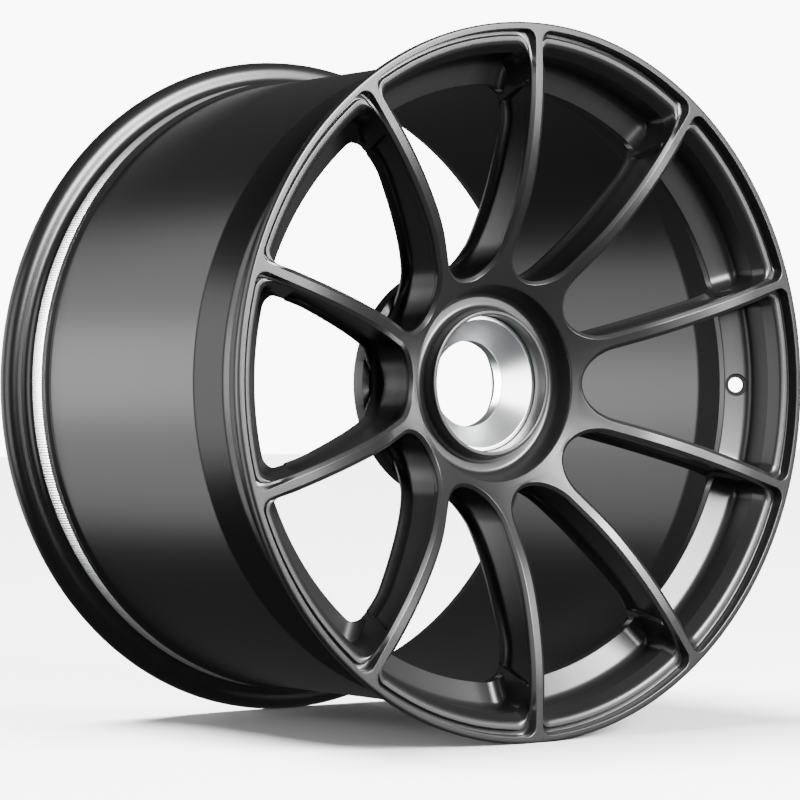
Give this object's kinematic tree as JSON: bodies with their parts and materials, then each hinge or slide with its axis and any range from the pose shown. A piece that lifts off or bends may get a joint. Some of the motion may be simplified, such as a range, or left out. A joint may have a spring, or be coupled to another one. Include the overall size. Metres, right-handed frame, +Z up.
{
  "type": "forged racing wheel rim",
  "caption": "One-piece forged racing wheel with thin dished spokes, a deep barrel, a stepped lip and a centre-lock hub with a cone seat.",
  "frame": {"origin": "on the wheel's axis, halfway between the outer faces of its two flanges", "axes": "+Y is the spin axis and points to the inboard side, so the outer face looks along -Y; +Z up, +X to the right as seen from the outer face"},
  "size_m": [0.5224, 0.3298, 0.5214],
  "materials": {
    "forging": "satin black anodised or lacquered forging",
    "seat": "bare machined",
    "bush": "ground steel"
  },
  "bodies": {
    "root": {"front_rim": "forging", "well_ring": "forging", "barrel": "forging", "rear_rim": "forging", "hub": "forging", "spoke_01": "forging", "spoke_02": "forging", "spoke_03": "forging", "spoke_04": "forging", "spoke_05": "forging", "spoke_06": "forging", "spoke_07": "forging", "spoke_08": "forging", "spoke_09": "forging", "spoke_10": "forging", "centre_seat": "seat", "drive_bush_1": "bush", "drive_bush_2": "bush", "drive_bush_3": "bush", "drive_bush_4": "bush", "drive_bush_5": "bush"}
  },
  "joints": []
}
